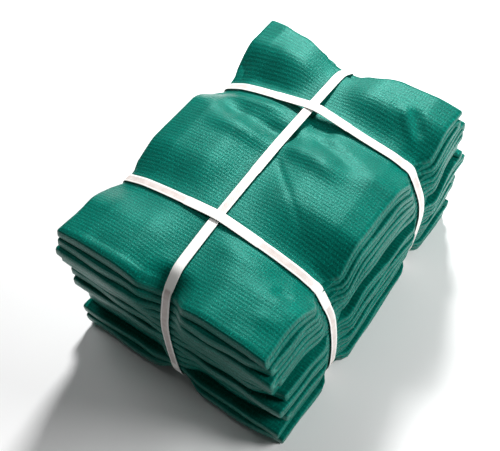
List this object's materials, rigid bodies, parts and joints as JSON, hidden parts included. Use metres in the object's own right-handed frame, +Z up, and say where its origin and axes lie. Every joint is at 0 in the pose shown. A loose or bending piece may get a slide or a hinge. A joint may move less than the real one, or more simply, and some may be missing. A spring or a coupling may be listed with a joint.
{
  "type": "folded shade netting",
  "caption": "Length of knitted shade netting folded lengthwise, then back and forth into an oblong pile, held by flat straps along and across it.",
  "frame": {"origin": "middle of the part's footprint, on the floor that it lies on", "axes": "+Z up, +X along the pile towards the back end, +Y across it towards the side with the open edges"},
  "size_m": [0.425, 0.3072, 0.2209],
  "materials": {
    "netting": "knitted polyethylene tape net, soft sheen",
    "strap": "white polypropylene strapping, finely embossed"
  },
  "bodies": {
    "root": {"netting": "netting", "strap_long": "strap", "strap_near": "strap", "strap_far": "strap"}
  },
  "joints": []
}
